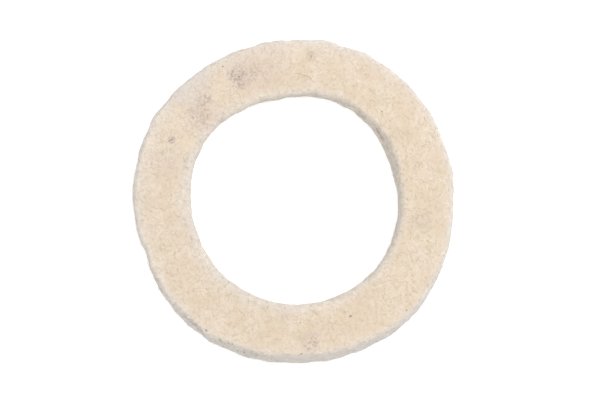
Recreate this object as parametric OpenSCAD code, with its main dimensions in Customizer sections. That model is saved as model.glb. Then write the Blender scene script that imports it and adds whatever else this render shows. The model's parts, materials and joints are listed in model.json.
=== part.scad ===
// Felt polishing wheel: one flat ring of pressed wool felt, punched through for a hub or collar.
// It has square faces top and bottom, a plain bore, and soft corners at the rim and at the bore.
// Millimetres. +Z runs up the ring's axis, and the origin is at the centre of the underside,
// so the ring lies on the plane z = 0.

/* [Ring] */
// Diameter across the rim, which is the working edge
rim_d = 100; // [90:1:150]
// Diameter of the bore that a hub or collar passes through
bore_d = 66; // [20:1:80]
// Thickness of the pressed felt
felt_t = 10; // [5:0.5:25]

/* [Corners] */
// Radius of the soft corners at the rim and at the bore
corner_r = 1.2; // [0.4:0.1:2]

/* [Hidden] */

rim_r = rim_d / 2;
bore_r = bore_d / 2;

// Facets shown round the ring and round each corner; the solid itself is truly round
ring_steps = 180;
corner_steps = 32;

// Half of the ring cut through its axis: x is the radius and y is the height.
// Two crossed rectangles with a circle in each corner make a rectangle with round corners.
module felt_section() {
    translate([bore_r, corner_r])
        square([rim_r - bore_r, felt_t - 2 * corner_r]);
    translate([bore_r + corner_r, 0])
        square([rim_r - bore_r - 2 * corner_r, felt_t]);
    for (x = [bore_r + corner_r, rim_r - corner_r], y = [corner_r, felt_t - corner_r])
        translate([x, y])
            circle(r = corner_r, $fn = corner_steps);
}

// The whole ring, one piece of felt turned once round the axis
module felt_ring() {
    color("blanchedalmond")
        rotate_extrude($fn = ring_steps)
            felt_section();
}

felt_ring();
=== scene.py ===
"""A felt polishing wheel: one flat ring of pressed cream wool with a hairy skin, on a white table.

Everything is in metres in the part's own frame: +Z runs up the axis of the ring, and its underside
lies on z = 0. Turns are angles round that axis, counted from +X towards +Y.
"""

import json
import logging
import math
from dataclasses import dataclass
from enum import Enum
from typing import Any

import bpy
import numpy as np
from mathutils import Matrix, Vector


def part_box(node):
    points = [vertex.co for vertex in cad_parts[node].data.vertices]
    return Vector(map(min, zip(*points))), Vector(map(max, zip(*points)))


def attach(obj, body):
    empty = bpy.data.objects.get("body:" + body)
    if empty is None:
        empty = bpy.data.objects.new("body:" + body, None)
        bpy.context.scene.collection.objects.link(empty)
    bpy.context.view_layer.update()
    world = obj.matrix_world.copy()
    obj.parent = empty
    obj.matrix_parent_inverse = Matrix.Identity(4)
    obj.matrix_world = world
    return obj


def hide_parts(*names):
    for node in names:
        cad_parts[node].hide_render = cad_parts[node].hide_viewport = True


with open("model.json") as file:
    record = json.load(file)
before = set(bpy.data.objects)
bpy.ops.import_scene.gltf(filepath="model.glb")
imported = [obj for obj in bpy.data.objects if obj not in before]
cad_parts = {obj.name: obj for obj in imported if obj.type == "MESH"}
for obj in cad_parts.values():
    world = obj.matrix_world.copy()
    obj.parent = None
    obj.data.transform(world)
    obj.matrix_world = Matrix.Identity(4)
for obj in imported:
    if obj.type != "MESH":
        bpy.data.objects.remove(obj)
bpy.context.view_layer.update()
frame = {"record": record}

MM = 0.001
FULL_TURN = 2 * math.pi
FELT_NODE = "felt_ring"
BODY = "root"
LATTICE_SIZE = 64
EVEN_STEPS = (0.7548777, 0.5698403)  # 1/p and 1/p^2 with p^3 = p + 1: they spread points evenly
PRESSED_SEED, CUT_SEED, WORN_SEED, CRUMB_SEED, TUFT_SEED = 101, 201, 31, 41, 501
Colour = tuple[float, float, float]
Point = tuple[float, float, float]

log = logging.getLogger("felt_wheel")


# ---------------------------------------------------------------- surfaces


def drift(points: np.ndarray, wavelength: float, seed: int) -> np.ndarray:
    """Smooth random values that wander through space.

    A cube lattice with one wavelength between its knots holds seeded values from -1 to 1, and
    repeats after LATTICE_SIZE knots. A point takes the blend of the eight knots round it, with
    smoothstep weights 3f^2 - 2f^3 on each axis. So the same place always has the same value.

    Args:
        points: Places in metres, with x, y and z along the last axis.
        wavelength: Distance between knots in metres.
        seed: Seed of the knots' values.

    Returns:
        One value from -1 to 1 for each point.
    """
    cell = points / wavelength
    knot = np.floor(cell).astype(int)
    lattice = np.random.default_rng(seed).uniform(-1, 1, (LATTICE_SIZE,) * 3)
    part = cell - knot
    part = part * part * (3 - 2 * part)
    total = np.zeros(points.shape[:-1])
    for corner in np.ndindex(2, 2, 2):
        weight = np.prod(np.where(corner, part, 1 - part), axis=-1)
        at = np.mod(knot + corner, LATTICE_SIZE)
        total += weight * lattice[at[..., 0], at[..., 1], at[..., 2]]
    return total


def make_mesh(name: str, points: np.ndarray, faces: np.ndarray) -> bpy.types.Object:
    """Puts whole arrays of points and faces into a new smooth-shaded mesh object.

    Args:
        name: Name of the piece.
        points: Vertices, with x, y and z along the last axis.
        faces: Vertex numbers, one row of three or four for each face.

    Returns:
        The new object, linked into the scene.
    """
    flat = points.reshape(-1, 3).astype(np.float32)
    mesh = bpy.data.meshes.new(name)
    mesh.vertices.add(len(flat))
    mesh.vertices.foreach_set("co", flat.ravel())
    mesh.loops.add(faces.size)
    mesh.loops.foreach_set("vertex_index", faces.ravel().astype(np.int32))
    mesh.polygons.add(len(faces))
    starts = np.arange(len(faces), dtype=np.int32) * faces.shape[1]
    mesh.polygons.foreach_set("loop_start", starts)
    mesh.update(calc_edges=True)
    mesh.shade_smooth()
    piece = bpy.data.objects.new(name, mesh)
    bpy.context.scene.collection.objects.link(piece)
    return piece


def turn_gap(turn: np.ndarray, middle: float) -> np.ndarray:
    """Shortest way from a turn in degrees to each of the turns in radians, from -pi to pi."""
    return (turn - math.radians(middle) + math.pi) % FULL_TURN - math.pi


@dataclass(frozen=True)
class Wave:
    """One slow wave in a hand-cut outline.

    Attributes:
        count: Waves in a full turn.
        height: Height of a crest in metres.
        crest: Turn of the first crest in degrees.
    """

    count: int
    height: float
    crest: float


@dataclass(frozen=True)
class Slip:
    """A place where the knife wandered off its circle.

    Attributes:
        turn: Where it is, in degrees.
        spread: Half its width, in degrees.
        low: How far the cut moves outwards there at the underside, in metres.
        high: The same at the top face.
    """

    turn: float
    spread: float
    low: float
    high: float


@dataclass(frozen=True)
class CutLine:
    """The outline of a knife cut through the felt, as a radius for each turn and height.

    Attributes:
        radius: Radius of the true circle.
        centre: Where the knife's circle is centred, x and y in metres.
        lean: How far the cut moves in x and y from the underside up to the top face.
        flare: How much larger its radius is at the top face than at the underside, in metres.
        waves: Slow waves in the outline.
        slips: Places where the knife wandered.
        ragged: Height of the tufts that the knife left, in metres.
        seed: Seed of the tufts.
    """

    radius: float
    centre: tuple[float, float]
    lean: tuple[float, float]
    flare: float
    waves: tuple[Wave, ...]
    slips: tuple[Slip, ...]
    ragged: float
    seed: int

    def radius_at(self, turn: np.ndarray, up: np.ndarray) -> np.ndarray:
        """Radius of the cut.

        The radius is that of the circle, plus flare (up - 1/2), plus the centre's shift along the
        turn, plus height cos(count (turn - crest)) for each wave. Each slip adds a blend by up of
        its low and high, times exp(-(gap / spread)^2).

        Args:
            turn: Angles round the axis in radians.
            up: Heights as shares of the thickness, 0 at the underside and 1 at the top face.

        Returns:
            Radii in metres.
        """
        x = self.centre[0] + self.lean[0] * (up - 0.5)
        y = self.centre[1] + self.lean[1] * (up - 0.5)
        radius = self.radius + self.flare * (up - 0.5) + x * np.cos(turn) + y * np.sin(turn)
        for wave in self.waves:
            radius = radius + wave.height * np.cos(wave.count * (turn - math.radians(wave.crest)))
        for slip in self.slips:
            gap = turn_gap(turn, slip.turn)
            out = slip.low + (slip.high - slip.low) * up
            radius = radius + out * np.exp(-((gap / math.radians(slip.spread)) ** 2))
        x, y = self.radius * np.cos(turn), self.radius * np.sin(turn)
        ring = np.stack([x, y, 6 * MM * up + 0 * turn], axis=-1)
        return radius + self.ragged * drift(ring, 3.5 * MM, self.seed)


@dataclass(frozen=True)
class Relief:
    """One size of unevenness in the felt's skin.

    Attributes:
        wavelength: Distance from bump to bump in metres.
        height: Height of a bump on the pressed faces in metres.
        cut_height: Height of a bump on the knife-cut walls in metres.
    """

    wavelength: float
    height: float
    cut_height: float


@dataclass(frozen=True)
class Crease:
    """A place in a cut wall where the wool has parted along a slanting line.

    Attributes:
        on_bore: Whether it is in the bore's wall, and not in the rim's.
        turns: First and last turn in degrees.
        heights: Height of the line at each of those turns, in metres above the underside.
        depth: Depth of the groove in metres.
        width: Half the groove's width in metres.
    """

    on_bore: bool
    turns: tuple[float, float]
    heights: tuple[float, float]
    depth: float
    width: float

    def relief(self, turn: np.ndarray, height: np.ndarray, facing: np.ndarray) -> np.ndarray:
        """How far the skin moves outwards at a crease: a groove, with a raised lip under it.

        With g the gap above the line over the width, it is
        depth (0.35 exp(-(g + 1.8)^2) - exp(-g^2)), times a share that fades out at both ends and
        where the skin turns away from the wall.

        Args:
            turn: Angles round the axis in radians.
            height: Heights above the underside in metres.
            facing: Angles in the section that the skin faces, in radians.

        Returns:
            Movements in metres, negative into the felt.
        """
        first, last = self.turns
        along = 0.5 + turn_gap(turn, (first + last) / 2) / math.radians(last - first)
        line = self.heights[0] + (self.heights[1] - self.heights[0]) * along
        gap = (height - line) / self.width
        fade = np.clip(1 - (2 * along - 1) ** 4, 0, 1)
        fade = fade * np.clip(np.cos(facing) * (-1 if self.on_bore else 1), 0, 1)
        return self.depth * fade * (0.35 * np.exp(-((gap + 1.8) ** 2)) - np.exp(-(gap**2)))


@dataclass(frozen=True)
class Tear:
    """A stretch of wall that the knife tore, leaving tufts and pits.

    Attributes:
        on_bore: Whether it is in the bore's wall, and not in the rim's.
        turn: Its middle in degrees.
        spread: Half its length in degrees.
        strength: How badly it is torn, from 0 to 1.
    """

    on_bore: bool
    turn: float
    spread: float
    strength: float


@dataclass(frozen=True)
class PaintedEdgeLight:
    """Painted light on the faces beside one cut: a paler, greyer band, widest at one turn.

    Attributes:
        turn: The turn where the band is widest and strongest, in degrees.
        reach: Reach of the band from the cut where it is narrowest, in metres.
        more: How much further it reaches where it is widest, in metres.
        share: Strength at the cut where it is narrowest, from 0 to 1.
    """

    turn: float
    reach: float
    more: float = 1.4 * MM
    share: float = 0.4

    def at(self, turn: np.ndarray, gap: np.ndarray) -> np.ndarray:
        """Strength of the painted band, from 0 to 1.

        With w going from 0 to 1 as (1 + cos(turn - the widest turn)) / 2, it is
        (share + (1 - share) w) exp(-gap / (reach + more w)).

        Args:
            turn: Angles round the axis in radians.
            gap: Distances from the cut in metres.

        Returns:
            One value for each point.
        """
        toward_widest = (1 + np.cos(turn - math.radians(self.turn))) / 2
        fall = np.exp(-gap / (self.reach + self.more * toward_widest))
        return (self.share + (1 - self.share) * toward_widest) * fall


class Region(Enum):
    """The four sides of the ring's section, in the order that a lap of it meets them."""

    TOP = 0
    RIM = 1
    UNDERSIDE = 2
    BORE = 3


@dataclass
class FeltRing:
    """The ring itself: a rectangular section with round corners, carried round the axis.

    A lap runs once round the section: outwards over the top face, down the rim, inwards under the
    ring and up the bore. Every point of the skin is a function of its turn and its place on the lap.

    Attributes:
        bore: Cut of the bore.
        rim: Cut of the rim.
        thickness: Height of the ring in metres.
        corners: Radius of the corners at the bore and at the rim, in metres.
        reliefs: Sizes of unevenness in the skin.
        creases: The partings in its walls.
        tears: The torn stretches of its walls.
        painted_edge_light: The painted light on the faces beside the bore and beside the rim.
        columns: Points in a full turn.
        rows: Points on each side of the section, in the order of Region.
        corner_rows: Points on each corner.
    """

    bore: CutLine
    rim: CutLine
    thickness: float
    corners: tuple[float, float]
    reliefs: tuple[Relief, ...]
    creases: tuple[Crease, ...]
    tears: tuple[Tear, ...]
    painted_edge_light: tuple[PaintedEdgeLight, PaintedEdgeLight]
    columns: int = 640
    rows: tuple[int, int, int, int] = (46, 26, 28, 28)
    corner_rows: int = 5

    def side_length(self, region: Region) -> float:
        """Length of one straight side of the section in metres, between its corners."""
        high = self.thickness - 2 * self.corners[0 if region is Region.BORE else 1]
        wide = self.rim.radius - self.bore.radius - sum(self.corners)
        return wide if region in (Region.TOP, Region.UNDERSIDE) else high

    def arc(self) -> float:
        """Share of the lap that each corner takes, in metres."""
        return sum(self.corners) * math.pi / 4

    def lap_of(self, region: Region) -> tuple[float, float]:
        """Where one straight side starts and ends on the lap, in metres."""
        before = sum(self.side_length(r) + self.arc() for r in Region if r.value < region.value)
        return before, before + self.side_length(region)

    def lap_length(self) -> float:
        """Length of the whole lap in metres."""
        return self.lap_of(Region.BORE)[1] + self.arc()

    def section_at(self, lap: np.ndarray) -> tuple[np.ndarray, np.ndarray, np.ndarray]:
        """Where places on the lap are in the section.

        Args:
            lap: Distances along the lap in metres.

        Returns:
            out, 0 at the bore's corners and 1 at the rim's; up, 0 at the lower corners and 1 at the
            upper ones; and facing, the angle in radians of the direction that the skin faces there,
            which stays the same along a side and turns by a right angle round a corner.
        """
        knots = np.array([self.lap_of(region) for region in Region]).ravel()
        knots = np.append(knots, self.lap_length())
        out = np.array([0, 1, 1, 1, 1, 0, 0, 0, 0])
        up = np.array([1, 1, 1, 0, 0, 0, 0, 1, 1])
        facing = np.radians([90, 90, 0, 0, -90, -90, -180, -180, -270])
        place = np.mod(lap, self.lap_length())
        return tuple(np.interp(place, knots, values) for values in (out, up, facing))

    def skin(self, turn: np.ndarray, lap: np.ndarray) -> tuple[np.ndarray, np.ndarray]:
        """Points on the felt.

        With c the corner's radius, a point's radius is the blend by out of (bore + c) and (rim - c),
        plus c cos(facing). Its height is c + up (thickness - 2c) + c sin(facing). The relief then
        moves it along the direction that the skin faces, and nothing sinks below the table.

        Args:
            turn: Angles round the axis in radians.
            lap: Distances along the lap in metres.

        Returns:
            The points and the unit directions that the skin faces there.
        """
        out, up, facing = self.section_at(lap)
        around = np.stack([np.cos(turn), np.sin(turn), 0 * turn], axis=-1)
        inner, outer, corner = self.sides_at(turn, up, out)
        radius = inner + (outer - inner) * out + corner * np.cos(facing)
        height = corner + up * (self.thickness - 2 * corner) + corner * np.sin(facing)
        points = around * radius[..., None]
        points[..., 2] = height
        normals = around * np.cos(facing)[..., None]
        normals[..., 2] = np.sin(facing)
        moved = self.relief(points, np.abs(np.cos(facing))) * (1 + self.torn(turn, up, facing))
        for crease in self.creases:
            moved += crease.relief(turn, height, facing)
        points = points + normals * moved[..., None]
        points[..., 2] = np.maximum(points[..., 2], 0)
        return points, normals

    def torn(self, turn: np.ndarray, up: np.ndarray, facing: np.ndarray) -> np.ndarray:
        """How badly the skin is torn, from 0 to 1.

        Each tear adds strength exp(-(gap / spread)^2) sqrt(c) (0.25 + 0.75 up^3), with c the cosine of
        the angle between the skin's facing and its wall's: the knife tore most where it went in.

        Args:
            turn: Angles round the axis in radians.
            up: Heights as shares of the thickness, 0 at the underside and 1 at the top face.
            facing: Angles in the section that the skin faces, in radians.

        Returns:
            One value for each point.
        """
        total = 0 * turn
        for tear in self.tears:
            gap = turn_gap(turn, tear.turn)
            wall = np.clip(np.cos(facing) * (-1 if tear.on_bore else 1), 0, 1)
            near = tear.strength * np.exp(-((gap / math.radians(tear.spread)) ** 2))
            total = total + near * wall**0.5 * (0.25 + 0.75 * up**3)
        return np.clip(total, 0, 1)

    def sides_at(
        self, turn: np.ndarray, up: np.ndarray, out: np.ndarray
    ) -> tuple[np.ndarray, np.ndarray, np.ndarray]:
        """Radii where the bore's and the rim's corners begin, and the corner's own radius.

        Args:
            turn: Angles round the axis in radians.
            up: Heights as shares of the thickness.
            out: Places across the ring, 0 at the bore's corners and 1 at the rim's.

        Returns:
            The inner radius, the outer radius and the corner's radius, in metres.
        """
        around = np.stack([np.cos(turn), np.sin(turn), 0 * turn], axis=-1)
        worn = 1 + 0.25 * drift(around * self.rim.radius, 9 * MM, WORN_SEED)
        at_bore, at_rim = (corner * worn for corner in self.corners)
        inner = self.bore.radius_at(turn, up) + at_bore
        outer = self.rim.radius_at(turn, up) - at_rim
        return inner, outer, at_bore + (at_rim - at_bore) * out

    def lap_on_top(self, turn: np.ndarray, radius: np.ndarray) -> np.ndarray:
        """Lap distance of a place on the top face, from its turn in radians and its radius."""
        inner, outer, _ = self.sides_at(turn, np.ones_like(turn), 0 * turn)
        start, end = self.lap_of(Region.TOP)
        return start + (end - start) * (radius - inner) / (outer - inner)

    def relief(self, points: np.ndarray, cut: np.ndarray) -> np.ndarray:
        """Unevenness of the skin: each relief's height times its own drift, summed.

        The walls show the felt's layers, so the drift there is stretched sideways.

        Args:
            points: Places on the plain ring in metres.
            cut: 0 on the pressed faces and 1 on the knife-cut walls.

        Returns:
            Movements in metres.
        """
        total = np.zeros(points.shape[:-1])
        layered = points * (0.6, 0.6, 1.6)
        for number, relief in enumerate(self.reliefs):
            pressed = relief.height * drift(points, relief.wavelength, PRESSED_SEED + number)
            sliced = relief.cut_height * drift(layered, relief.wavelength, CUT_SEED + number)
            total += pressed * (1 - cut) + sliced * cut
        return total

    def laps(self) -> np.ndarray:
        """Lap distances of the mesh's rows, with the corners' own rows between the sides'."""
        parts = []
        for region, count in zip(Region, self.rows):
            start, end = self.lap_of(region)
            arc_end = end + self.arc()
            parts.append(np.linspace(start, end, count, endpoint=False))
            parts.append(np.linspace(end, arc_end, self.corner_rows, endpoint=False))
        return np.concatenate(parts)

    def build(self) -> bpy.types.Object:
        """Builds the ring as one closed grid of turns by lap distances."""
        turns = np.linspace(0, FULL_TURN, self.columns, endpoint=False)
        laps = self.laps()
        turn, lap = np.meshgrid(turns, laps, indexing="ij")
        points, _ = self.skin(turn, lap)
        number = np.arange(turn.size).reshape(turn.shape)
        ahead = np.roll(number, -1, axis=0)
        faces = np.stack(
            [number, np.roll(number, -1, axis=1), np.roll(ahead, -1, axis=1), ahead], axis=-1
        )
        piece = make_mesh("felt_ring_body", points, faces.reshape(-1, 4))
        self.mark_edges(piece, turn, lap)
        return piece

    def mark_edges(self, piece: bpy.types.Object, turn: np.ndarray, lap: np.ndarray) -> None:
        """Stores how near each point is to a cut and how torn it is, for the finish to read.

        "cut_edge" is |cos(facing)|^p plus each cut's painted band times |sin(facing)|, with p going from 2
        at the bore to 1 at the rim; it carries the painted light on the cut edges.
        "cut_wall" is cos(facing)^2 at the bore and 0.8 |cos(facing)|^1.2 at the rim, where the lower power
        lets it reach up the rounded corner as painted shade.
        "rim_side" is 0 at the bore and 1 at the rim, and "torn" is the share that torn() gives.

        Args:
            piece: The ring's object.
            turn: Turn of each vertex in radians.
            lap: Lap distance of each vertex in metres.
        """
        out, up, facing = self.section_at(lap)
        width = self.side_length(Region.TOP)
        near = np.abs(np.cos(facing)) ** (2 - out)
        # Painted light on the rounded cut edges, as a paler, greyer band.
        for painted_edge_light, across in zip(self.painted_edge_light, (out, 1 - out)):
            near = near + painted_edge_light.at(turn, across * width) * np.abs(np.sin(facing))
        # At the rim the lower power carries the wall's greyer colour up the corner: painted shade that
        # outlines it.
        wall = np.abs(np.cos(facing)) ** (2 - 0.8 * out) * (1 - 0.2 * out)
        stored = {
            "cut_edge": np.clip(near, 0, 1),
            "cut_wall": wall,
            "rim_side": out,
            "torn": self.torn(turn, up, facing),
        }
        for name, values in stored.items():
            attribute = piece.data.attributes.new(name, "FLOAT", "POINT")
            attribute.data.foreach_set("value", values.astype(np.float32).ravel())

    def dress(self, piece: bpy.types.Object, finish: "PressedFelt") -> None:
        """Gives the ring its felt and lets it stand for the frame's plain ring."""
        piece.data.materials.append(finish.material())
        settle(piece)
        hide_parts(FELT_NODE)


def settle(piece: bpy.types.Object) -> None:
    """Lets a piece ride with the ring."""
    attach(piece, BODY)


# ---------------------------------------------------------------- fibres


@dataclass(frozen=True)
class Strand:
    """How one sort of wool fibre grows and lies.

    Attributes:
        length: Shortest and longest, in metres.
        radius: Thinnest and thickest half width, in metres.
        bend: Largest turn of heading over the whole fibre, in radians.
        arch: Greatest height of the middle above the skin, in metres.
        stray: Greatest height of the free end above the skin, in metres.
        sink: Depth of the rooted end below the skin, in metres.
    """

    length: tuple[float, float]
    radius: tuple[float, float]
    bend: float
    arch: float
    stray: float
    sink: float


def tube_faces(count: int, rings: int, corners: int) -> np.ndarray:
    """Triangles of many closed tubes, with two for each side of each ring and a fan over each end.

    Args:
        count: Number of tubes.
        rings: Rings of corners along a tube.
        corners: Corners in a ring.

    Returns:
        Vertex numbers, one row of three for each triangle.
    """
    number = np.arange(rings * corners).reshape(rings, corners)
    near, far = number[:-1], number[1:]
    near_next, far_next = np.roll(near, -1, axis=1), np.roll(far, -1, axis=1)
    fan = np.array([[0, k, k + 1] for k in range(1, corners - 1)])
    one = np.concatenate(
        [
            np.stack([near, far, far_next], axis=-1).reshape(-1, 3),
            np.stack([near, far_next, near_next], axis=-1).reshape(-1, 3),
            fan,
            (rings - 1) * corners + fan[:, ::-1],
        ]
    )
    first = np.arange(count)[:, None, None] * rings * corners
    return (first + one[None]).reshape(-1, 3)


def tube_mesh(
    name: str, points: np.ndarray, normals: np.ndarray, radius: np.ndarray
) -> bpy.types.Object:
    """Builds fibres as three-sided tubes, closed at both ends.

    A tube's corner k is its centre plus radius times (cos(120k) n + sin(120k) b), with t the fibre's
    own direction, b the unit of t x n, and n turned square to both.

    Args:
        name: Name of the piece.
        points: Centre lines, one row of points for each fibre.
        normals: The directions that the skin faces under those points.
        radius: Half width at each point in metres.

    Returns:
        All the fibres as one object.
    """
    along = np.gradient(points, axis=1)
    along /= np.linalg.norm(along, axis=-1, keepdims=True)
    beside = np.cross(along, normals)
    beside /= np.maximum(np.linalg.norm(beside, axis=-1, keepdims=True), 1e-9)
    above = np.cross(beside, along)
    corner = np.radians([0, 120, 240])[None, None, :, None]
    spoke = np.cos(corner) * above[:, :, None] + np.sin(corner) * beside[:, :, None]
    tubes = points[:, :, None] + radius[:, :, None, None] * spoke
    count, rings = points.shape[:2]
    return make_mesh(name, tubes, tube_faces(count, rings, corner.size))


@dataclass
class FibreCoat:
    """A coat of curled fibres on one side of the ring.

    Attributes:
        name: Name of the piece.
        region: The side that it lies on.
        count: Number of fibres.
        strand: How they grow and lie.
        seed: Seed of every random choice here.
        overlap: How far fibres may root past the side's ends, in metres.
        segments: Straight bits in each fibre.
    """

    name: str
    region: Region
    count: int
    strand: Strand
    seed: int
    overlap: float = 0.0
    segments: int = 7

    def paths(self, ring: FeltRing) -> tuple[np.ndarray, np.ndarray, np.ndarray]:
        """Centre lines of all the fibres, laid over the skin.

        A fibre's heading is its first heading plus bend t plus a ripple 0.5 sin(2 pi (t + phase)),
        with t from 0 to 1 along it. Its steps are added up into a turn and a lap distance, and it
        stands above the skin by arch sin(pi t) + stray t^2 - sink (1 - t)^4.

        Args:
            ring: The ring that they lie on.

        Returns:
            Points, the directions that the skin faces under them, and a radius at each point.
        """
        rng = np.random.default_rng(self.seed)
        one = (self.count, 1)
        start, end = ring.lap_of(self.region)
        number = np.arange(self.count)[:, None] + rng.uniform(0, 1000)
        lap = start - self.overlap + (end - start + 2 * self.overlap) * np.mod(number * EVEN_STEPS[0], 1)
        turn = FULL_TURN * np.mod(number * EVEN_STEPS[1], 1)
        t = np.linspace(0, 1, self.segments + 1)[None, :]
        length = rng.uniform(*self.strand.length, one)
        bend = rng.uniform(-self.strand.bend, self.strand.bend, one)
        ripple = 0.5 * np.sin(FULL_TURN * (t + rng.uniform(0, 1, one)))
        heading = rng.uniform(0, FULL_TURN, one) + bend * t + ripple
        step = length / self.segments
        along = np.cumsum(np.cos(heading) * step, axis=1)
        across = np.cumsum(np.sin(heading) * step, axis=1)
        out, _, _ = ring.section_at(lap)
        reach = ring.bore.radius + (ring.rim.radius - ring.bore.radius) * out
        points, normals = ring.skin(turn + along / reach, lap + across)
        rise = self.strand.arch * rng.uniform(0.1, 1, one) * np.sin(math.pi * t)
        rise = rise + self.strand.stray * rng.uniform(0, 1, one) ** 2 * t**2
        rise = rise - self.strand.sink * (1 - t) ** 4
        points = points + normals * rise[..., None]
        taper = 1 - 0.65 * np.abs(2 * t - 1) ** 3
        radius = rng.uniform(*self.strand.radius, one) * taper
        points[..., 2] = np.maximum(points[..., 2], radius)
        return points, normals, radius

    def build(self, ring: FeltRing) -> bpy.types.Object:
        """Builds the coat's fibres as one object."""
        return tube_mesh(self.name, *self.paths(ring))

    def dress(self, piece: bpy.types.Object, finishes: tuple["WoolFibre", ...]) -> None:
        """Gives each fibre one of the wool's tints, in the mix that the tints' shares ask for."""
        for finish in finishes:
            piece.data.materials.append(finish.material())
        shares = np.array([finish.share for finish in finishes])
        rng = np.random.default_rng(self.seed + 1)
        tint = rng.choice(len(finishes), self.count, p=shares / shares.sum())
        per_fibre = len(piece.data.polygons) // self.count
        slots = np.repeat(tint, per_fibre).astype(np.int32)
        piece.data.polygons.foreach_set("material_index", slots)
        settle(piece)


@dataclass(frozen=True)
class Hair:
    """One coarse hair lying on the top face.

    Attributes:
        turn: Turn of its root in degrees.
        radius: Distance of its root from the axis, in metres.
        heading: Direction that it sets off in, in degrees from +X towards +Y.
        bend: Turn of its heading over its whole length, in degrees.
        length: Its length in metres.
    """

    turn: float
    radius: float
    heading: float
    bend: float
    length: float


@dataclass(frozen=True)
class Tuft:
    """A patch of the top face where short curled hairs stand out.

    Attributes:
        turn: Turn of its middle in degrees.
        radius: Distance of its middle from the axis, in metres.
        spread: How far from the middle most hairs root, in metres.
        count: Number of hairs.
    """

    turn: float
    radius: float
    spread: float
    count: int

    def hairs(self, seed: int) -> tuple[Hair, ...]:
        """Its hairs, rooted at seeded places, each curling one way or the other."""
        rng = np.random.default_rng(seed)
        turn = self.turn + np.degrees(rng.normal(0, self.spread / 2, self.count) / self.radius)
        radius = self.radius + rng.normal(0, self.spread / 2, self.count)
        heading = rng.uniform(0, 360, self.count)
        bend = rng.choice((-1, 1), self.count) * rng.uniform(90, 260, self.count)
        length = rng.uniform(1.2 * MM, 2.6 * MM, self.count)
        return tuple(Hair(*values) for values in zip(turn, radius, heading, bend, length))


@dataclass
class HairSet:
    """The coarse hairs of one tint.

    Attributes:
        name: Name of the piece.
        hairs: The hairs, one by one.
        thickness: Half width of a hair in metres.
        arch: Height of a hair's middle above the skin, in metres.
        segments: Straight bits in each hair.
    """

    name: str
    hairs: tuple[Hair, ...]
    thickness: float
    arch: float
    segments: int = 16

    def build(self, ring: FeltRing) -> bpy.types.Object:
        """Lays every hair over the skin.

        A hair's heading is its first heading plus bend t plus a ripple 12 sin(4 pi t) degrees, with t
        from 0 to 1 along it, and it stands above the skin by arch sin(pi t).

        Args:
            ring: The ring that they lie on.

        Returns:
            All the hairs as one object.
        """
        turn, radius, heading, bend, length = (
            np.array([getattr(hair, key) for hair in self.hairs])[:, None]
            for key in ("turn", "radius", "heading", "bend", "length")
        )
        t = np.linspace(0, 1, self.segments + 1)[None, :]
        way = np.radians(heading + bend * t + 12 * np.sin(2 * FULL_TURN * t))
        x = radius * np.cos(np.radians(turn)) + np.cumsum(np.cos(way), axis=1) * length / self.segments
        y = radius * np.sin(np.radians(turn)) + np.cumsum(np.sin(way), axis=1) * length / self.segments
        turns = np.arctan2(y, x)
        points, normals = ring.skin(turns, ring.lap_on_top(turns, np.hypot(x, y)))
        points = points + normals * (self.arch * np.sin(math.pi * t))[..., None]
        taper = self.thickness * (1 - 0.7 * np.abs(2 * t - 1) ** 3)
        return tube_mesh(self.name, points, normals, taper + 0 * turns)

    def dress(self, piece: bpy.types.Object, finish: "WoolFibre") -> None:
        """Gives the hairs their tint."""
        piece.data.materials.append(finish.material())
        settle(piece)


@dataclass(frozen=True)
class Fleck:
    """A crumb of plant or grit pressed into the top face.

    Attributes:
        turn: Where it is, in degrees.
        radius: Distance from the axis in metres.
        size: Half its length in metres.
    """

    turn: float
    radius: float
    size: float


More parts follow.
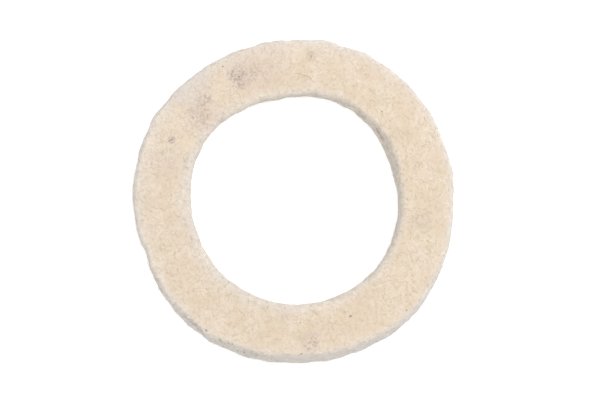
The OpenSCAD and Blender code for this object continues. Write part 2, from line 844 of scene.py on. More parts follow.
@dataclass
class FleckSet:
    """Crumbs caught in the skin of the ring.

    Attributes:
        seen: Crumbs placed one by one on the top face.
        scattered: Number of further crumbs, strewn over the walls and the underside.
        size: Shortest and longest half length of a strewn crumb, in metres.
        seed: Seed of the strewn crumbs.
        slices: Corners round a crumb.
        stacks: Rings of corners from tip to tip.
    """

    seen: tuple[Fleck, ...]
    scattered: int
    size: tuple[float, float]
    seed: int
    slices: int = 6
    stacks: int = 4

    def places(self, ring: FeltRing) -> tuple[np.ndarray, np.ndarray, np.ndarray]:
        """Turn, lap distance and half length of every crumb."""
        rng = np.random.default_rng(self.seed)
        turn = np.radians([fleck.turn for fleck in self.seen])
        lap = ring.lap_on_top(turn, np.array([fleck.radius for fleck in self.seen]))
        size = np.array([fleck.size for fleck in self.seen])
        start, end = ring.lap_of(Region.RIM)[0], ring.lap_of(Region.BORE)[1]
        turn = np.append(turn, rng.uniform(0, FULL_TURN, self.scattered))
        lap = np.append(lap, rng.uniform(start, end, self.scattered))
        size = np.append(size, rng.uniform(*self.size, self.scattered))
        return turn, lap, size

    def build(self, ring: FeltRing) -> bpy.types.Object:
        """Builds each crumb as a flattened, knobbly pebble with pointed ends.

        Over a grid of angles a (tip to tip) and b (round), the pebble is (cos a, 0.6 sin a cos b,
        0.4 sin a sin b) times the half length, turned to lie along the skin and uneven by a drift.

        Args:
            ring: The ring that they are caught in.

        Returns:
            All the crumbs as one object.
        """
        turn, lap, size = self.places(ring)
        place, up = ring.skin(turn, lap)
        rng = np.random.default_rng(self.seed + 1)
        guess = rng.normal(size=up.shape)
        long = np.cross(up, guess)
        long /= np.linalg.norm(long, axis=-1, keepdims=True)
        wide = np.cross(up, long)
        a = np.linspace(0.12, math.pi - 0.12, self.stacks)[None, :, None, None]
        b = np.linspace(0, FULL_TURN, self.slices, endpoint=False)[None, None, :, None]
        axes = (v[:, None, None, :] for v in (long, wide, up))
        reaches = (np.cos(a), 0.6 * np.sin(a) * np.cos(b), 0.4 * np.sin(a) * np.sin(b))
        shape = sum(axis * reach for axis, reach in zip(axes, reaches))
        half = size[:, None, None, None]
        points = place[:, None, None, :] + half * shape
        points = points + 0.25 * half * drift(points, 0.15 * MM, CRUMB_SEED)[..., None] * shape
        points[..., 2] = np.maximum(points[..., 2], 0)
        return make_mesh("plant_flecks", points, tube_faces(len(turn), self.stacks, self.slices))

    def dress(self, piece: bpy.types.Object, finish: "PlantCrumb") -> None:
        """Gives the crumbs their brown and lets them ride with the ring."""
        piece.data.materials.append(finish.material())
        settle(piece)


# ---------------------------------------------------------------- finishes


class Wire:
    """One output of a node. Python's operators on it add Math nodes to its sheet."""

    def __init__(self, sheet: "NodeSheet", socket: bpy.types.NodeSocket) -> None:
        """Keeps the sheet that new nodes go on and the socket that links start from."""
        self.sheet = sheet
        self.socket = socket

    def _math(self, operation: str, first: Any, second: Any = 0.0) -> "Wire":
        """The result of a Math node on two values or wires."""
        return self.sheet.node("ShaderNodeMath", {"operation": operation}, {0: first, 1: second})

    def __add__(self, other: Any) -> "Wire":
        """Sum."""
        return self._math("ADD", self, other)

    def __radd__(self, other: Any) -> "Wire":
        """Sum, from the right."""
        return self._math("ADD", other, self)

    def __sub__(self, other: Any) -> "Wire":
        """Difference."""
        return self._math("SUBTRACT", self, other)

    def __rsub__(self, other: Any) -> "Wire":
        """Difference, from the right."""
        return self._math("SUBTRACT", other, self)

    def __mul__(self, other: Any) -> "Wire":
        """Product."""
        return self._math("MULTIPLY", self, other)

    def __rmul__(self, other: Any) -> "Wire":
        """Product, from the right."""
        return self._math("MULTIPLY", other, self)

    def __truediv__(self, other: Any) -> "Wire":
        """Quotient."""
        return self._math("DIVIDE", self, other)

    def __pow__(self, other: Any) -> "Wire":
        """Power."""
        return self._math("POWER", self, other)

    def __abs__(self) -> "Wire":
        """Size without its sign."""
        return self._math("ABSOLUTE", self)

    def clamp(self) -> "Wire":
        """The same, kept from 0 to 1."""
        return self._math("MAXIMUM", 0.0, self._math("MINIMUM", 1.0, self))

    def larger(self, other: Any) -> "Wire":
        """The larger of the two."""
        return self._math("MAXIMUM", self, other)


class NodeSheet:
    """The node tree of one material."""

    def __init__(self, name: str) -> None:
        """Starts a material with an empty node tree."""
        self.material = bpy.data.materials.new(name)
        self.material.use_nodes = True
        self.tree = self.material.node_tree
        self.tree.nodes.clear()

    def node(self, kind: str, settings: dict[str, Any], sockets: dict[Any, Any], output: Any = 0) -> Wire:
        """Adds any node.

        Args:
            kind: The node's type.
            settings: Its own settings, set first, such as a Math node's operation.
            sockets: Values or wires for its inputs, by name or number.
            output: Name or number of the output that is wanted.

        Returns:
            That output.
        """
        made = self.tree.nodes.new(kind)
        for key, value in settings.items():
            setattr(made, key, value)
        for key, value in sockets.items():
            if isinstance(value, Wire):
                self.tree.links.new(value.socket, made.inputs[key])
            else:
                made.inputs[key].default_value = value
        return Wire(self, made.outputs[output])

    def place(self) -> Wire:
        """Coordinates in metres in the part's own frame."""
        return self.node("ShaderNodeTexCoord", {}, {}, "Object")

    def stored(self, name: str) -> Wire:
        """Values stored on the mesh under a name."""
        return self.node("ShaderNodeAttribute", {"attribute_name": name}, {}, "Fac")

    def shift(self, vector: Wire, by: Point, grow: Point = (1.0, 1.0, 1.0)) -> Wire:
        """Coordinates moved and stretched."""
        return self.node("ShaderNodeMapping", {}, {"Vector": vector, "Location": by, "Scale": grow})

    def noise(self, vector: Wire, wavelength: float, detail: float = 2.0, output: str = "Fac") -> Wire:
        """Noise with that distance in metres from bump to bump."""
        values = {"Vector": vector, "Scale": 1 / wavelength, "Detail": detail}
        return self.node("ShaderNodeTexNoise", {}, values, output)

    def mix(self, share: Any, first: Any, second: Any) -> Wire:
        """Colours mixed by a share from 0 to 1."""
        settings = {"data_type": "RGBA", "clamp_factor": True}
        ends = [value if isinstance(value, Wire) else (*value, 1.0) for value in (first, second)]
        return self.node("ShaderNodeMix", settings, {0: share, 6: ends[0], 7: ends[1]}, 2)

    def bend(self, vector: Wire, wavelength: float, by: float) -> Wire:
        """Coordinates pushed about by up to half of by metres, so that straight patterns curl."""
        push = self.noise(vector, wavelength, 1.0, "Color")
        centred = self.node("ShaderNodeVectorMath", {"operation": "SUBTRACT"}, {0: push, 1: (0.5, 0.5, 0.5)})
        scaled = self.node("ShaderNodeVectorMath", {"operation": "SCALE"}, {0: centred, "Scale": by})
        return self.node("ShaderNodeVectorMath", {"operation": "ADD"}, {0: vector, 1: scaled})

    def finish(self, constants: dict[str, Any], driven: dict[str, Wire]) -> bpy.types.Material:
        """Adds the shader and the output, and hands the material over.

        Args:
            constants: Values for the shader's own sockets.
            driven: Wires for its Base Color, Roughness and Normal.

        Returns:
            The finished material.
        """
        shader = self.node("ShaderNodeBsdfPrincipled", {}, {**constants, **driven})
        output = self.tree.nodes.new("ShaderNodeOutputMaterial")
        self.tree.links.new(shader.socket, output.inputs["Surface"])
        return self.material


@dataclass(frozen=True)
class Speckle:
    """Soft-edged patches of noise.

    Attributes:
        size: Distance from patch to patch in metres.
        detail: How much finer noise is added.
        level: Value of the noise at which a patch begins.
        slope: Steepness of its edge. Where it is negative, patches lie below the level.
    """

    size: float
    detail: float
    level: float
    slope: float

    def share(self, sheet: NodeSheet, place: Wire) -> Wire:
        """(noise - level) times slope, kept from 0 to 1."""
        return ((sheet.noise(place, self.size, self.detail) - self.level) * self.slope).clamp()


@dataclass(frozen=True)
class StainOrShade:
    """A dull patch in the felt: most are real stain marks, and a few are painted shade.

    Attributes:
        turn: Where it is, in degrees.
        radius: Distance from the axis in metres.
        height: Height above the underside in metres.
        size: Distance in metres over which it fades away.
        strength: Share of its colour at the centre.
        dotted: 0 when it is even, and 1 when it only clings to some of the fibres.
        colour: Its colour.
    """

    turn: float
    radius: float
    height: float
    size: float
    strength: float
    dotted: float
    colour: Colour

    def centre(self) -> Point:
        """Its place in the part's frame."""
        angle = math.radians(self.turn)
        return self.radius * math.cos(angle), self.radius * math.sin(angle), self.height


@dataclass(frozen=True)
class PressedFelt:
    """Matted wool: cream with painted light on its cut edges, curled fibres in its skin, a few dull
    stain marks, and painted shade between its fibres, in its torn pits and in a few patches.

    Attributes:
        cream: Colour of the pressed faces.
        straw: Yellower colour of some patches.
        pale: Painted light on the faces beside a cut edge, paler and greyer than the cream.
        bore_wall: Colour of the bore's wall.
        rim_wall: Colour of the rim's wall.
        pit: Painted shade in the pits that the knife tore in them.
        shade: Painted shade between the fibres, and the darker tone of the layer streaks and the grain.
        light: Colour of the fibres that lie on top: partly their own paler tone, partly painted light on
            their raised tops.
        strands: Distances from curl to curl of each layer of fibres, in metres.
        strand_width: Half the width of a fibre, as a share of the distance from curl to curl.
        patches: The straw patches, and patch_share their strength.
        edge_share: Strength of the pale colour beside a cut.
        layers: The streaks that the felt's layers leave in the walls, and layer_share their strength.
        pits: The torn pits, with pit_share the strength of their painted shade.
        hollows: Painted shade in the gaps between fibres. Its strength is hollow_share on the faces, and
            hollow_more is added on the walls.
        grain: The finest mottling. Its strength is grain_share, plus grain_more where it is matted.
        matted: Where the skin is matted. A curl's strength is curl_share, plus curl_more there.
        dots: The fibres that a dotted stain clings to.
        nap: Distance between the finest bumps in metres.
        rises: Heights of a curl, of the nap and of a pit, as shares of relief.
        relief: Height of a full bump in metres.
        roughness: Roughness between the curls, and curl_gloss how much smoother a curl is.
        stains_and_shades: Dull patches: real stain marks, and a few patches of painted shade.
    """

    cream: Colour = (0.755, 0.62, 0.48)
    straw: Colour = (0.725, 0.60, 0.43)
    pale: Colour = (0.765, 0.71, 0.655)
    bore_wall: Colour = (0.69, 0.635, 0.565)
    rim_wall: Colour = (0.705, 0.68, 0.65)
    pit: Colour = (0.30, 0.265, 0.22)
    shade: Colour = (0.56, 0.46, 0.36)
    light: Colour = (0.91, 0.83, 0.72)
    strands: tuple[float, ...] = (0.7 * MM, 1.0 * MM, 1.5 * MM)
    strand_width: float = 0.08
    patches: Speckle = Speckle(9 * MM, 2.0, 0.4, 4.0)
    patch_share: float = 0.5
    edge_share: float = 0.85
    layers: Speckle = Speckle(1.3 * MM, 3.0, 0.5, 6.0)
    layer_share: float = 0.3
    pits: Speckle = Speckle(0.9 * MM, 3.0, 0.49, -10.0)
    pit_share: float = 0.7
    hollows: Speckle = Speckle(0.7 * MM, 3.0, 0.55, -4.0)
    hollow_share: float = 0.13
    hollow_more: float = 0.25
    grain: Speckle = Speckle(0.4 * MM, 2.0, 0.45, 5.0)
    grain_share: float = 0.12
    grain_more: float = 0.22
    matted: Speckle = Speckle(6 * MM, 1.0, 0.42, 6.0)
    curl_share: float = 0.10
    curl_more: float = 0.35
    dots: Speckle = Speckle(0.75 * MM, 1.0, 0.49, 9.0)
    nap: float = 0.45 * MM
    rises: tuple[float, float, float] = (0.6, 0.8, -2.0)
    relief: float = 0.04 * MM
    roughness: float = 0.98
    curl_gloss: float = 0.10
    stains_and_shades: tuple[StainOrShade, ...] = ()

    def curls(self, sheet: NodeSheet, place: Wire) -> Wire:
        """Curled fibres: the thin bands where a noise crosses its middle value, in several layers.

        Args:
            sheet: The material's nodes.
            place: Coordinates in metres.

        Returns:
            1 along the middle of a fibre and 0 away from every fibre.
        """
        total = None
        for number, wavelength in enumerate(self.strands):
            moved = sheet.shift(place, (0.013 * number, 0.007 * number, 0.019 * number))
            bent = sheet.bend(moved, wavelength * 0.6, wavelength * 0.5)
            band = abs(sheet.noise(bent, wavelength, 0.0) - 0.5) / self.strand_width
            line = (1 - band).clamp()
            total = line if total is None else total.larger(line)
        return total

    def add_stains_and_shades(self, sheet: NodeSheet, place: Wire, colour: Wire) -> Wire:
        """Mixes each stain mark and each patch of painted shade in: full near its centre, and fading as 1.6
        (1 - (gap / size)^2).
        """
        dots = self.dots.share(sheet, place)
        for stain in self.stains_and_shades:
            settings = {"operation": "DISTANCE"}
            gap = sheet.node("ShaderNodeVectorMath", settings, {0: place, 1: stain.centre()}, "Value")
            fade = ((1 - (gap / stain.size) ** 2.0) * 1.6).clamp()
            share = fade * (dots * stain.dotted + (1 - stain.dotted)) * stain.strength
            colour = sheet.mix(share, colour, stain.colour)
        return colour

    def material(self) -> bpy.types.Material:
        """Builds the material."""
        sheet = NodeSheet("pressed_felt")
        place = sheet.place()
        edge, wall = sheet.stored("cut_edge"), sheet.stored("cut_wall")
        rim_side, torn = sheet.stored("rim_side"), sheet.stored("torn")
        curls = self.curls(sheet, place)
        flat = sheet.shift(place, (0.0, 0.0, 0.0), (0.4, 0.4, 1.5))
        tall = sheet.shift(place, (0.0, 0.0, 0.0), (1.0, 1.0, 0.6))
        layers = self.layers.share(sheet, flat) * wall
        pits = self.pits.share(sheet, tall) * torn
        patches = self.patches.share(sheet, place)
        hollows = self.hollows.share(sheet, place)
        grain = self.grain.share(sheet, place)
        matted = self.matted.share(sheet, place)
        colour = sheet.mix(patches * self.patch_share, self.cream, self.straw)
        # Painted light on the rounded cut edges: paler and greyer beside each cut.
        colour = sheet.mix(edge * self.edge_share, colour, self.pale)
        # The walls' own colours; at the rim this also paints shade on the rounded corner.
        colour = sheet.mix(wall, colour, sheet.mix(rim_side, self.bore_wall, self.rim_wall))
        colour = sheet.mix(layers * self.layer_share, colour, self.shade)
        # Painted shade: the torn pits, sunk by the bump, are also darkened towards the pit colour.
        colour = sheet.mix(pits * self.pit_share, colour, self.pit)
        # Painted shade in the gaps between the fibres, stronger on the walls.
        colour = sheet.mix(hollows * (wall * self.hollow_more + self.hollow_share), colour, self.shade)
        colour = sheet.mix(grain * (matted * self.grain_more + self.grain_share), colour, self.shade)
        # The curls raised by the bump are also mixed paler: partly their own tone, partly painted light.
        colour = sheet.mix(curls * (matted * self.curl_more + self.curl_share), colour, self.light)
        colour = self.add_stains_and_shades(sheet, place, colour)
        curl_rise, nap_rise, pit_rise = self.rises
        height = curls * curl_rise + sheet.noise(place, self.nap, 3.0) * nap_rise + pits * pit_rise
        bump = sheet.node("ShaderNodeBump", {}, {"Strength": 1.0, "Distance": self.relief, "Height": height})
        rough = self.roughness - curls * self.curl_gloss
        constants = {"Specular IOR Level": 0.25, "Sheen Weight": 0.2, "Sheen Roughness": 0.5}
        return sheet.finish(constants, {"Base Color": colour, "Roughness": rough, "Normal": bump})


@dataclass(frozen=True)
class WoolFibre:
    """One tint of loose wool fibre. A coat mixes several, each fibre taking one of them.

    Attributes:
        name: Name of the material.
        colour: The tint.
        share: How much of a coat has it, beside its other tints.
    """

    name: str
    colour: Colour
    share: float = 1.0

    def material(self) -> bpy.types.Material:
        """The tint's material, made once and then shared by the coats."""
        found = bpy.data.materials.get(self.name)
        if found:
            return found
        sheet = NodeSheet(self.name)
        constants = {
            "Base Color": (*self.colour, 1.0),
            "Roughness": 0.85,
            "Specular IOR Level": 0.3,
            "Sheen Weight": 0.3,
        }
        return sheet.finish(constants, {})


@dataclass(frozen=True)
class PlantCrumb:
    """Dry plant matter: brown, mottled dark."""

    dark: Colour = (0.27, 0.20, 0.16)
    brown: Colour = (0.46, 0.35, 0.27)

    def material(self) -> bpy.types.Material:
        """Builds the material."""
        sheet = NodeSheet("plant_crumb")
        mottle = sheet.noise(sheet.place(), 0.12 * MM, 2.0)
        colour = sheet.mix(mottle, self.dark, self.brown)
        return sheet.finish({"Roughness": 0.8}, {"Base Color": colour})


# ---------------------------------------------------------------- studio


@dataclass(frozen=True)
class Lamp:
    """A square soft lamp that faces the ring.

    Attributes:
        name: Name of the lamp.
        turn: Where it hangs round the axis, in degrees.
        rise: Its height above the table as an angle, in degrees.
        gap: Its distance in metres.
        side: Its side in metres.
        power: Its power in watts.
    """

    name: str
    turn: float
    rise: float
    gap: float
    side: float
    power: float

    def build(self) -> None:
        """Hangs the lamp."""
        data = bpy.data.lights.new(self.name, "AREA")
        data.size = self.side
        data.energy = self.power
        lamp = bpy.data.objects.new(self.name, data)
        around, up = math.radians(self.turn), math.radians(self.rise)
        away = Vector((math.cos(up) * math.cos(around), math.cos(up) * math.sin(around), math.sin(up)))
        lamp.location = away * self.gap
        lamp.rotation_euler = away.to_track_quat("Z", "Y").to_euler()
        bpy.context.scene.collection.objects.link(lamp)


@dataclass(frozen=True)
class Studio:
    """The white table, the soft light and the camera.

    Attributes:
        tilt: How far the camera leans from straight down, in degrees.
        swing: Turn of the side that it leans to, in degrees.
        distance: Camera to aim point in metres.
        lens: Focal length in millimetres.
        sensor: Width of the camera's sensor in millimetres.
        aim: The point that it looks at, in metres.
        table_size: Side of the table in metres.
        table_grey: Share of light that the table throws back.
        table_glow: Brightness that it adds, so that it shows as pure white.
        sky_light: Strength of the room's even light.
        key: The one lamp.
    """

    tilt: float = 9.0
    swing: float = 235.0
    distance: float = 1.035
    lens: float = 200.0
    sensor: float = 36.0
    aim: Point = (1.7 * MM, 0.3 * MM, 5 * MM)
    table_size: float = 6.0
    table_grey: float = 0.4
    table_glow: float = 0.75
    sky_light: float = 0.825
    key: Lamp = Lamp("key_lamp", turn=38, rise=52, gap=0.9, side=0.5, power=3.5)

    def camera(self) -> bpy.types.Object:
        """Sets the camera up, looking almost straight down with +Y upwards in its view."""
        data = bpy.data.cameras.new("camera")
        data.lens = self.lens
        data.sensor_width = self.sensor
        camera = bpy.data.objects.new("camera", data)
        bpy.context.scene.collection.objects.link(camera)
        tilt, swing = math.radians(self.tilt), math.radians(self.swing)
        back = Vector((math.sin(tilt) * math.cos(swing), math.sin(tilt) * math.sin(swing), math.cos(tilt)))
        right = Vector((0, 1, 0)).cross(back).normalized()
        turn = Matrix((right, back.cross(right), back)).transposed()
        camera.matrix_world = Matrix.Translation(Vector(self.aim) + back * self.distance) @ turn.to_4x4()
        bpy.context.scene.camera = camera
        return camera

    def table(self) -> bpy.types.Object:
        """Lays a plain white table under the ring."""
        half = self.table_size / 2
        corners = np.array([(-half, -half, 0), (half, -half, 0), (half, half, 0), (-half, half, 0)])
        table = make_mesh("table", corners, np.array([[0, 1, 2, 3]]))
        sheet = NodeSheet("white_table")
        constants = {
            "Base Color": (*[self.table_grey] * 3, 1.0),
            "Roughness": 0.9,
            "Emission Color": (*[self.table_glow] * 3, 1.0),
            "Emission Strength": 1.0,
        }
        table.data.materials.append(sheet.finish(constants, {}))
        return table

    def sky(self) -> None:
        """Fills the room with even white light."""
        world = bpy.data.worlds.new("studio")
        world.use_nodes = True
        background = world.node_tree.nodes["Background"]
        background.inputs["Color"].default_value = (1.0, 1.0, 1.0, 1.0)
        background.inputs["Strength"].default_value = self.sky_light
        bpy.context.scene.world = world

    def build(self) -> None:
        """Sets up the camera, the table, the room's light and the lamp."""
        self.camera()
        self.table()
        self.sky()
        self.key.build()
        scene = bpy.context.scene
        scene.view_settings.view_transform = "Standard"
        scene.view_settings.look = "None"


# ---------------------------------------------------------------- the wheel


def felt_ring() -> FeltRing:
    """The ring, with its sizes from the frame and its knife cuts' own faults."""
    low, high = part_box(FELT_NODE)
    rim_radius = (high.x - low.x) / 2
    bore_mount = next(m for m in frame["record"]["mounts"] if m["name"] == "bore")
    bore_radius = bore_mount["dims"]["r_mm"] * MM
    rim = CutLine(
        radius=rim_radius - 0.3 * MM,
        centre=(0.2 * MM, -0.5 * MM),
        lean=(-0.7 * MM, 1.5 * MM),
        flare=0.6 * MM,
        waves=(
            Wave(2, 0.25 * MM, 45),
            Wave(3, 0.25 * MM, 65),
            Wave(4, 0.40 * MM, 55),
            Wave(5, 0.15 * MM, 25),
        ),
        slips=(
            Slip(200, 4, -0.8 * MM, -0.8 * MM),
            Slip(215, 4, 0.3 * MM, 0.3 * MM),
            Slip(65, 3, 0.0, 0.4 * MM),
            Slip(150, 3, 0.0, 0.4 * MM),
            Slip(245, 5, -0.3 * MM, -0.2 * MM),
            Slip(320, 3, 0.3 * MM, 0.2 * MM),
            Slip(355, 4, 0.0, -0.3 * MM),
            Slip(10, 3, 0.0, 0.3 * MM),
        ),
        ragged=0.22 * MM,
        seed=11,
    )
    bore = CutLine(
        radius=bore_radius,
        centre=(0.0, 0.3 * MM),
        lean=(0.5 * MM, -0.6 * MM),
        flare=-0.4 * MM,
        waves=(
            Wave(3, 0.25 * MM, 50),
            Wave(4, 0.40 * MM, 60),
            Wave(5, 0.15 * MM, 65),
        ),
        slips=(
            Slip(30, 12, 0.0, 0.8 * MM),
            Slip(340, 20, 0.0, -0.5 * MM),
            Slip(50, 5, 0.3 * MM, -0.4 * MM),
            Slip(100, 3, -0.3 * MM, -0.3 * MM),
            Slip(320, 3, 0.3 * MM, 0.3 * MM),
        ),
        ragged=0.22 * MM,
        seed=12,
    )
    reliefs = (
        Relief(16 * MM, 0.12 * MM, 0.10 * MM),
        Relief(5 * MM, 0.03 * MM, 0.18 * MM),
        Relief(2.2 * MM, 0.012 * MM, 0.20 * MM),
        Relief(1.2 * MM, 0.010 * MM, 0.12 * MM),
    )
    creases = (
        Crease(True, (34, 43), (6.0 * MM, 9.0 * MM), 1.1 * MM, 0.40 * MM),
        Crease(True, (48, 55), (6.6 * MM, 7.4 * MM), 0.9 * MM, 0.60 * MM),
        Crease(False, (239, 245), (4.4 * MM, 5.0 * MM), 0.7 * MM, 1.00 * MM),
        Crease(False, (252, 258), (8.2 * MM, 7.4 * MM), 0.7 * MM, 0.80 * MM),
    )
    tears = (
        Tear(True, 52, 12, 0.7),
        Tear(True, 16, 16, 0.7),
        Tear(True, 80, 16, 0.3),
        Tear(False, 231, 9, 0.9),
        Tear(False, 244, 8, 1.0),
        Tear(False, 256, 7, 1.0),
        Tear(False, 212, 16, 0.4),
        Tear(False, 120, 60, 0.25),
        Tear(False, 300, 40, 0.3),
        Tear(True, 230, 80, 0.25),
    )
    return FeltRing(
        bore=bore,
        rim=rim,
        thickness=high.z - low.z,
        corners=(1.7 * MM, 1.2 * MM),
        reliefs=reliefs,
        creases=creases,
        tears=tears,
        # Painted light on the cut edges, widest at 190 degrees on the bore and 130 on the rim.
        painted_edge_light=(PaintedEdgeLight(190, 0.5 * MM), PaintedEdgeLight(130, 0.9 * MM)),
    )


def fibre_coats() -> tuple[FibreCoat, ...]:
    """Every coat of loose fibre on the ring."""
    lying = Strand(
        length=(1.0 * MM, 3.4 * MM),
        radius=(0.013 * MM, 0.028 * MM),
        bend=3.0,
        arch=0.05 * MM,
        stray=0.06 * MM,
        sink=0.04 * MM,
    )
    fuzz = Strand(
        length=(1.0 * MM, 3.0 * MM),
        radius=(0.012 * MM, 0.025 * MM),
        bend=2.5,
        arch=0.1 * MM,
        stray=0.9 * MM,
        sink=0.1 * MM,
    )
    return (
        FibreCoat("top_fibres_a", Region.TOP, 4000, lying, 301, 1.0 * MM),
        FibreCoat("top_fibres_b", Region.TOP, 4000, lying, 311, 1.0 * MM),
        FibreCoat("rim_fibres", Region.RIM, 4000, lying, 321, 1.0 * MM),
        FibreCoat("underside_fibres", Region.UNDERSIDE, 3000, lying, 331, 1.0 * MM),
        FibreCoat("bore_fibres", Region.BORE, 3000, lying, 341, 1.0 * MM),
        FibreCoat("rim_fuzz", Region.RIM, 3500, fuzz, 351, 1.5 * MM),
        FibreCoat("bore_fuzz", Region.BORE, 2500, fuzz, 361, 1.5 * MM),
    )


def coarse_hairs() -> tuple[tuple[HairSet, WoolFibre], ...]:
    """The coarse hairs on the top face: a dark one, a few long light ones and curled tufts."""
    dark = (Hair(92, 39 * MM, 10, -60, 7.5 * MM),)
    light = (
        Hair(98, 41.5 * MM, 150, 40, 5 * MM),
        Hair(112, 44.5 * MM, 200, -60, 4 * MM),
        Hair(28, 41 * MM, 100, 50, 5 * MM),
        Hair(338, 46 * MM, 60, 40, 5 * MM),
        Hair(250, 42 * MM, 10, 60, 5 * MM),
        Hair(295, 39 * MM, 170, 20, 1.5 * MM),
        Hair(264, 37 * MM, 250, 60, 2 * MM),
        Hair(265, 37.5 * MM, 250, -60, 1.5 * MM),
    )
    tufts = (
        Tuft(280, 41.5 * MM, 3.5 * MM, 14),
        Tuft(355, 41 * MM, 4 * MM, 14),
        Tuft(335, 44.5 * MM, 3 * MM, 10),
        Tuft(50, 43.5 * MM, 4 * MM, 14),
        Tuft(195, 43 * MM, 3.5 * MM, 12),
        Tuft(180, 46 * MM, 2.5 * MM, 8),
        Tuft(110, 41.5 * MM, 2.5 * MM, 8),
        Tuft(80, 45 * MM, 3 * MM, 8),
        Tuft(140, 40.5 * MM, 4 * MM, 10),
        Tuft(160, 42 * MM, 3.5 * MM, 10),
    )
    curled = sum((tuft.hairs(TUFT_SEED + number) for number, tuft in enumerate(tufts)), ())
    dark_set = HairSet("dark_hairs", dark, thickness=0.05 * MM, arch=0.05 * MM)
    light_set = HairSet("light_hairs", light + curled, thickness=0.06 * MM, arch=0.06 * MM)
    return (
        (dark_set, WoolFibre("dark_hair", (0.34, 0.26, 0.20))),
        (light_set, WoolFibre("light_hair", (0.90, 0.85, 0.77))),
    )


def felt_finish(thickness: float) -> PressedFelt:
    """The felt's finish, with its stain marks and its patches of painted shade placed in the top face and
    the bore's wall.
    """
    mauve, rosy, grey = (0.38, 0.305, 0.29), (0.66, 0.54, 0.49), (0.60, 0.52, 0.43)
    olive, straw, rim_shade_grey = (0.46, 0.40, 0.29), (0.82, 0.67, 0.48), (0.66, 0.61, 0.60)
    brown = (0.42, 0.33, 0.28)
    stains_and_shades = (
        StainOrShade(115, 43 * MM, thickness, 3 * MM, 0.60, 0.75, mauve),
        StainOrShade(115, 40.5 * MM, thickness, 3 * MM, 0.60, 0.75, mauve),
        StainOrShade(115, 42 * MM, thickness, 4.5 * MM, 0.45, 0.9, mauve),
        StainOrShade(108, 41.5 * MM, thickness, 3 * MM, 0.55, 0.9, olive),
        StainOrShade(265, 36.5 * MM, thickness, 1.5 * MM, 0.6, 0.5, rosy),
        StainOrShade(155, 42.5 * MM, thickness, 1.5 * MM, 0.65, 0.5, mauve),
        StainOrShade(154, 37 * MM, thickness, 3.5 * MM, 0.3, 0.2, straw),
        # Painted shade: the broad grey where the rounded rim near 133 degrees turns away from the lamp.
        StainOrShade(133, 49.5 * MM, thickness, 9 * MM, 0.4, 0.1, rim_shade_grey),
        StainOrShade(138, 38.5 * MM, thickness, 7 * MM, 0.35, 0.3, rosy),
        StainOrShade(133, 41.5 * MM, thickness, 3 * MM, 0.45, 0.9, brown),
        StainOrShade(139, 39.5 * MM, thickness, 4 * MM, 0.40, 0.9, brown),
        StainOrShade(106, 44 * MM, thickness, 11 * MM, 0.30, 0.2, rosy),
        StainOrShade(276, 44.5 * MM, thickness, 4 * MM, 0.45, 0.5, rosy),
        StainOrShade(276, 45 * MM, thickness, 3 * MM, 0.45, 0.9, brown),
        StainOrShade(84, 45 * MM, thickness, 2 * MM, 0.45, 0.6, brown),
        # Painted shade: these two follow the groove of the bore's crease from 34 to 43 degrees and darken
        # it.
        StainOrShade(37, 34 * MM, 7.5 * MM, 2 * MM, 0.30, 0.3, brown),
        StainOrShade(41, 34 * MM, 8.5 * MM, 2 * MM, 0.30, 0.3, brown),
        StainOrShade(349, 39.5 * MM, thickness, 4.5 * MM, 0.45, 0.6, grey),
        StainOrShade(165, 42.5 * MM, thickness, 5 * MM, 0.35, 0.4, rosy),
    )
    return PressedFelt(stains_and_shades=stains_and_shades)


def lying_wool() -> tuple[WoolFibre, ...]:
    """Tints of the fibres that lie on the pressed faces."""
    return (
        WoolFibre("white_wool", (0.90, 0.83, 0.72), 3),
        WoolFibre("cream_wool", (0.80, 0.68, 0.54), 4),
        WoolFibre("straw_wool", (0.70, 0.57, 0.41), 2),
        WoolFibre("grey_wool", (0.56, 0.46, 0.36), 0.6),
    )


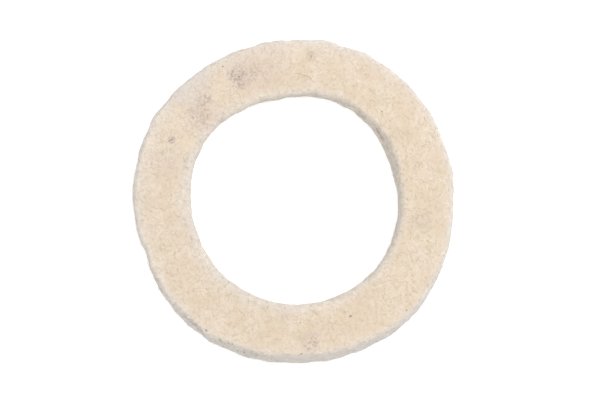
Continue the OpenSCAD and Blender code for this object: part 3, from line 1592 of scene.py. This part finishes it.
def loose_wool() -> tuple[WoolFibre, ...]:
    """Tints of the fibres on the cut walls."""
    return (
        WoolFibre("pale_fuzz", (0.84, 0.80, 0.75), 3),
        WoolFibre("dull_fuzz", (0.72, 0.68, 0.62), 3),
        WoolFibre("grey_fuzz", (0.56, 0.53, 0.48), 1),
    )


def caught_flecks() -> FleckSet:
    """The crumbs caught in the felt: the ones listed one by one on the top face, and a few elsewhere."""
    seen = (
        Fleck(155, 42.5 * MM, 0.35 * MM),
        Fleck(156, 43 * MM, 0.25 * MM),
        Fleck(295, 40 * MM, 0.45 * MM),
        Fleck(236, 49.5 * MM, 0.40 * MM),
        Fleck(119, 47 * MM, 0.35 * MM),
        Fleck(115, 42 * MM, 0.35 * MM),
        Fleck(108, 41.5 * MM, 0.25 * MM),
        Fleck(46, 38.5 * MM, 0.30 * MM),
        Fleck(272, 48 * MM, 0.35 * MM),
        Fleck(272, 38.5 * MM, 0.25 * MM),
        Fleck(315, 48.5 * MM, 0.30 * MM),
        Fleck(84, 45 * MM, 0.30 * MM),
        Fleck(142, 40.5 * MM, 0.25 * MM),
        Fleck(25, 47 * MM, 0.20 * MM),
    )
    return FleckSet(seen=seen, scattered=60, size=(0.08 * MM, 0.22 * MM), seed=401)


def main() -> None:
    """Builds the studio and the wheel, and reports each piece."""
    logging.basicConfig(level=logging.INFO, format="%(name)s: %(message)s")
    Studio().build()
    ring = felt_ring()
    body = ring.build()
    ring.dress(body, felt_finish(ring.thickness))
    log.info("%s: %d faces", body.name, len(body.data.polygons))
    for coat in fibre_coats():
        piece = coat.build(ring)
        coat.dress(piece, lying_wool() if coat.region in (Region.TOP, Region.UNDERSIDE) else loose_wool())
        log.info("%s: %d fibres", piece.name, coat.count)
    for hairs, finish in coarse_hairs():
        piece = hairs.build(ring)
        hairs.dress(piece, finish)
        log.info("%s: %d hairs", piece.name, len(hairs.hairs))
    flecks = caught_flecks()
    crumbs = flecks.build(ring)
    flecks.dress(crumbs, PlantCrumb())
    log.info("%s: %d faces", crumbs.name, len(crumbs.data.polygons))


if __name__ == "__main__":
    main()
